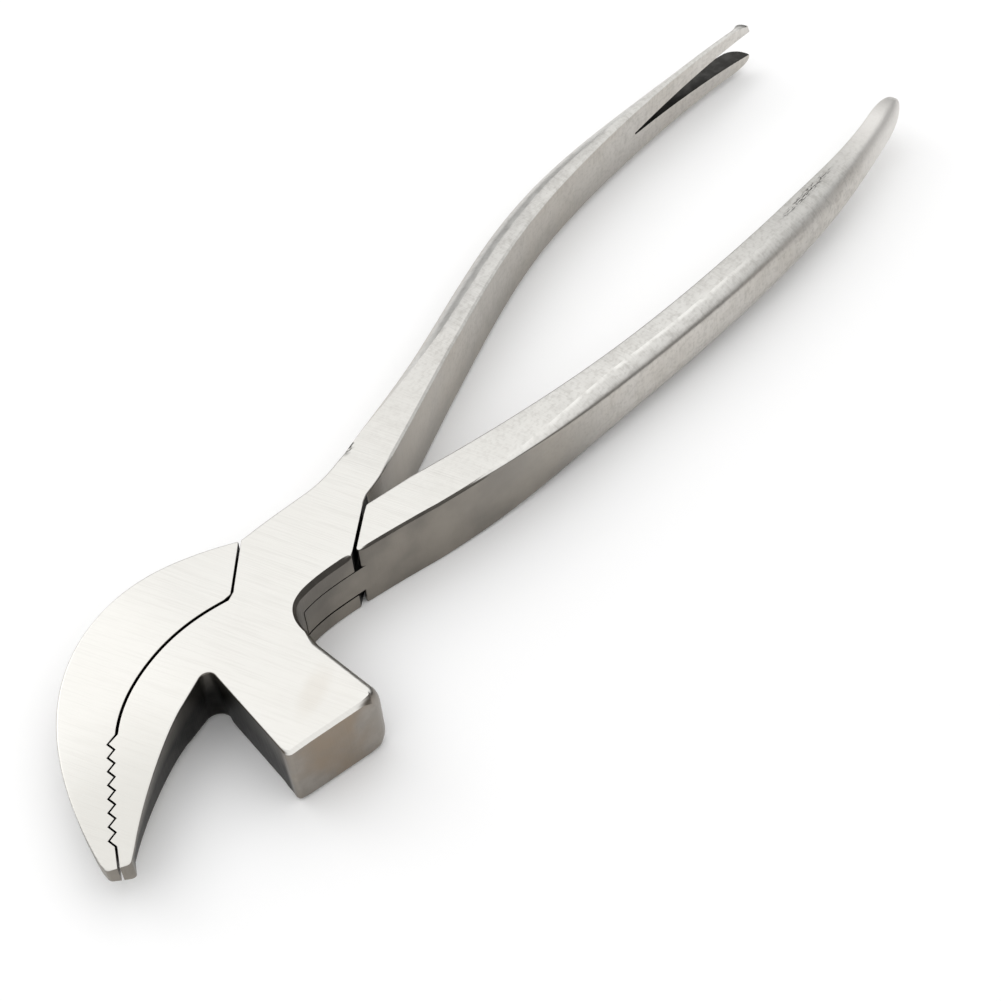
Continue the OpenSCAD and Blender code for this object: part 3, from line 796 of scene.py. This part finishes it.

# Each tone lies over the ones before it: the sides with their painted shade and light, the flats,
# the strokes, clouds and smudge, the painted shade and light on the nose and tip, the struck face's tan
# and painted shade, the painted shade in the throat, the painted highlight, the scale and the pits
upright = 1 - flatness
# The sides are darker than the flats, partly by their own duller finish and partly as painted shade, and
# are painted darker still towards the floor as painted shade
wall = steel.blend(raised, SHADED_LOW_SIDE, SIDE)
# Painted shade on the -Y sides near the joint
wall = steel.blend(joint_side_shade, wall, SHADED_SIDE)
# Painted light on the far sides
wall = steel.blend(far_side_light, wall, LIT_SIDE)
# Painted shade: the chamfers near the joint painted darker still, standing in for the dark room they
# mirror
wall = steel.blend(0.6*joint_side_shade*turned_down, wall, SHADED_CHAMFER)
tone = steel.blend(flatness, wall, steel.blend(on_handle, TOP, HANDLE_TOP))
tone = steel.blend((0.07 + 0.19*on_handle)*grain.step(0.42, 0.72), tone, STREAK)
tone = steel.blend(0.30*cloud.step(0.35, 0.75)*(1.15 - flatness), tone, STAIN)
tone = steel.blend(0.20*on_handle*speckle.step(0.48, 0.64), tone, STREAK)
tone = steel.blend(0.22*smudge, tone, STAIN)
# Painted shade on the flats towards the nose
tone = steel.blend(0.5*flatness*near_nose, tone, SHADED_NOSE_TOP)
# Painted light on the plain handle's tip
tone = steel.blend(0.8*plain_tip, tone, TIP)
# The struck face: its own tan, painted darker as painted shade
tone = steel.blend(struck*upright, tone, steel.blend(cloud.step(0.40, 0.60), STRUCK_SHADE, SHADED_STRUCK_TAN))
# Painted shade in the throat's corner
tone = steel.blend(0.85*throat_shade*upright, tone, SHADED_THROAT)
# Painted highlight on the handles, less in the matte stretch
tone = steel.blend(0.7*highlight_band*(1 - matte), tone, HIGHLIGHT)
tone = steel.blend(scale_left*(0.95 + 0.05*mottle.step(0.35, 0.6)), tone, SCALE)
tone = steel.blend(0.95*pits, tone, PIT)
steel.link(tone, steel.shader.inputs["Base Color"])
steel.shader.inputs["Metallic"].default_value = 1

# Roughness and relief follow the strokes, and the pits lie deep
rough = 0.31 + 0.10*(grain - 0.5) + 0.05*upright + 0.06*(mottle - 0.5) + 0.12*scale_left + 0.2*matte
steel.link(rough, steel.shader.inputs["Roughness"])
relief = grain + 0.5*mottle*upright + 0.7*on_handle*speckle - 4.0*pits
RELIEF_DEPTH = 0.000026
bump = steel.node("ShaderNodeBump", values={"Height": relief, "Distance": RELIEF_DEPTH})
steel.link(bump, steel.shader.inputs["Normal"])

piece("box_half_forging", box_mesh, "box_half", "box_half")

# Through half: the other steel forging, with the plain handle, the tongue that
# passes through the slot, and the outer jaw. It turns on the rivet, and the side of
# its tongue is ground flush with the box.
jaw_root_out = at(JAW_DIR, JAW_SHOULDER + JAW_GAP, 0.2 - JAW_OUT)
jaw_root_in = at(JAW_DIR, JAW_SHOULDER + JAW_GAP, JAW_IN + 0.3)
back_top, back_low = np.array([-25.5, 17]), jaw_root_out + [-5.3, 4.1]
BACK_EDGE = (0.35, 0.4, 0.6, 0.7, 0, 0)
jaw_outline = [
    (np.linspace(jaw_root_out, jaw_root_in, 11)[1:-1], CRISP),
    (rounded(jaw_root_out, jaw_root_in, seam(1)[2], 0.7), (0.15, 0.15, 0.3, 0.3, 0, 0)),
    (seam(1)[2:], SEAM_EDGE),
    (teeth(1), TOOTH_EDGE),
    (np.array([nose + TOOTH_GAP/2*nose_across]), TOOTH_EDGE),
    (rounded(nose, nose_outer, nose_outer + [0.6, 3], 0.8), NOSE_EDGE),
    (bezier(nose_outer + [0.35, 1.75], nose_outer + [7.6, 21.5], back_top - [11.5, 0], back_top, 40)[:-1],
     BACK_EDGE),
    (bezier(back_top, back_top + [8, 0], back_low, jaw_root_out, 20)[:-1], BACK_EDGE),
    (rounded(back_low, jaw_root_out, jaw_root_in, 0.3, 3), EASED),
]
# The outline is listed clockwise and turned round here, to run with the forging on
# its left as the box half's does
points, sizes = (listed[::-1].copy() for listed in walk(jaw_outline))
jaw_mesh = forging("outer_jaw", points, sizes, jaw_share)

TIP_L, TIP_T, TIP_LEAST = 9, 6.2, 0.004
tip_share = tip_round(plain_line[:, 0], plain_end[0], TIP_L, TIP_LEAST)
inner_edge, outer_edge = edges_of(plain_line, plain_width(plain_line[:, 0])*tip_share)


def plain_height(x):
    """Thickness of the plain handle: the grip's, eased to the tip's."""
    h = grip_height(x)
    return h + (TIP_T - h)*ease(80, 142, x)


FACET = 0.62


def plain_outside(x):
    """Edges of the plain handle's outer side. A narrow chamfer at the joint opens out into a gentle
    lead-in and a facet that slopes by FACET. The facet turns down over a millimetre into a wall that
    leans out to 0.6 of the thickness. Towards the tip the turns soften into a quarter ellipse."""
    grip, soft = ease(24, 62, x), ease(86, 124, x)
    width = plain_width(x)*tip_round(x, plain_end[0], TIP_L, TIP_LEAST)
    inset = np.minimum(0.34 + (0.52*plain_width(x) - 0.34)*grip, 0.55*width)
    turn_in = 0.19*inset*grip
    facet_in = turn_in + 0.25*grip
    lead_in, lead_down = np.minimum(0.3 + 0.3*grip, 0.4*inset), 0.1 + 0.02*grip
    facet = lead_down + FACET*np.maximum(inset - lead_in - facet_in, 0.05)*grip**0.3
    wall = facet + 0.1 + 0.77*grip
    drop = 0.46 + (0.60*plain_height(x) - 0.46)*ease(26, 60, x)
    drop = np.maximum(drop, wall + 0.1)
    wall_in = np.maximum(turn_in - 0.25*grip, 0.02)
    rows = np.column_stack([(inset - lead_in)/inset, lead_down/drop, facet_in/inset, facet/drop,
                            wall_in/inset, wall/drop, 0.4*wall_in/inset, (wall + 0.55*(drop - wall))/drop])
    shape = FLAT + ease(24, 34, x)[:, None]*(rows - FLAT)
    shape += 0.9*soft[:, None]*(ROUND - shape)
    low = 0.5 + (0.36*BODY - 0.5)*ease(26, 62, x)
    return np.column_stack([inset, drop*BODY/plain_height(x), 0.9*inset, low, 0*x, shape])


def plain_inside(x):
    """Edges of its inner side, eased a little more towards the tip."""
    width = plain_width(x)*tip_round(x, plain_end[0], TIP_L, TIP_LEAST)
    inset, drop = np.minimum(0.38, 0.3*width), 0.36 + 0*x
    return np.column_stack([inset, drop, inset, drop, 0*x, np.tile(ROUND, (len(x), 1))])


handle_root_in = at(HANDLE_DIR, HANDLE_SHOULDER + HANDLE_GAP, HANDLE_OUT - 0.5)
handle_root_out = at(HANDLE_DIR, HANDLE_SHOULDER + HANDLE_GAP, 0.3)
keep = plain_line[:, 0] > 19
inner_edge, outer_edge = inner_edge[keep], outer_edge[keep]
flank = bezier(handle_in_corner, handle_in_corner + [3.2, -0.62], outer_edge[0] - [4, -1.3],
               outer_edge[0], 16)[:-1]
plain_outline = [
    (rounded(inner_edge[0], handle_root_in, handle_root_out, 1.0, 5), (0.25, 0.25, 0.3, 0.3, 0, 0)),
    (np.linspace(handle_root_in, handle_root_out, 11)[2:-1], CRISP),
    (rounded(handle_root_in, handle_root_out, outer_edge[0], 0.4, 3), (0.25, 0.25, 0.3, 0.3, 0, 0)),
    (flank[flank[:, 0] > 5.8], (0.34, 0.46, 0.3, 0.4, 0, 1)),
    (outer_edge, plain_outside),
    (inner_edge[::-1], plain_inside),
]


def plain_share(x, y):
    """Share left in the plain handle: its height over the body's, rounded off at the tip."""
    return plain_height(x)/BODY*tip_round(x, plain_end[0], TIP_L)


points, sizes = walk(plain_outline)
handle_mesh = forging("plain_handle", points, sizes, plain_share)

jaw_arm, handle_arm = JAW_SHOULDER + JAW_GAP + 1, HANDLE_SHOULDER + HANDLE_GAP + 1
tongue_outline = np.vstack([
    arc(TONGUE_R, JAW_DIR + 90 - 360, HANDLE_DIR - meets(TONGUE_R, HANDLE_IN)),
    [at(HANDLE_DIR, handle_arm, -HANDLE_IN), at(HANDLE_DIR, handle_arm, TONGUE_R)],
    arc(TONGUE_R, HANDLE_DIR + 90, JAW_DIR - meets(TONGUE_R, JAW_OUT)),
    [at(JAW_DIR, jaw_arm, -JAW_OUT), at(JAW_DIR, jaw_arm, TONGUE_R)]])
tongue_low, tongue_high = SLOT_LOW + LOW_PLAY, SLOT_HIGH - FACE_PLAY
tongue_block = prism("tongue", tongue_outline, tongue_low, tongue_high)
heel = np.vstack([cheek_side, flank[flank[:, 0] < 9] + [0, 0.01], [8.5, -3], [-3, -3],
                  at(JAW_DIR, 6, TONGUE_R - 0.1)])
below = np.array([0, -12])
outside = np.vstack([cheek_side, flank[1:], flank[-1] + below, fillet_top + below])
tongue_block = worked(tongue_block, ("DIFFERENCE", prism("outside", outside, 0, BODY)),
                      ("UNION", prism("heel", heel, tongue_low, tongue_high)))
BORE_R = 3.05
through_mesh = worked(jaw_mesh, ("UNION", tongue_block), ("UNION", handle_mesh),
                      ("DIFFERENCE", turned("bore", [(BORE_R, -1), (BORE_R, BODY + 1)])))
piece("through_half_forging", through_mesh, "through_half", "through_half")

# Rivet: a steel pin with both ends peened into countersinks and ground flush, so
# that it all but disappears in the flats of the joint.
piece("rivet", turned("rivet", rivet_profile), "box_half", "pivot_pin")
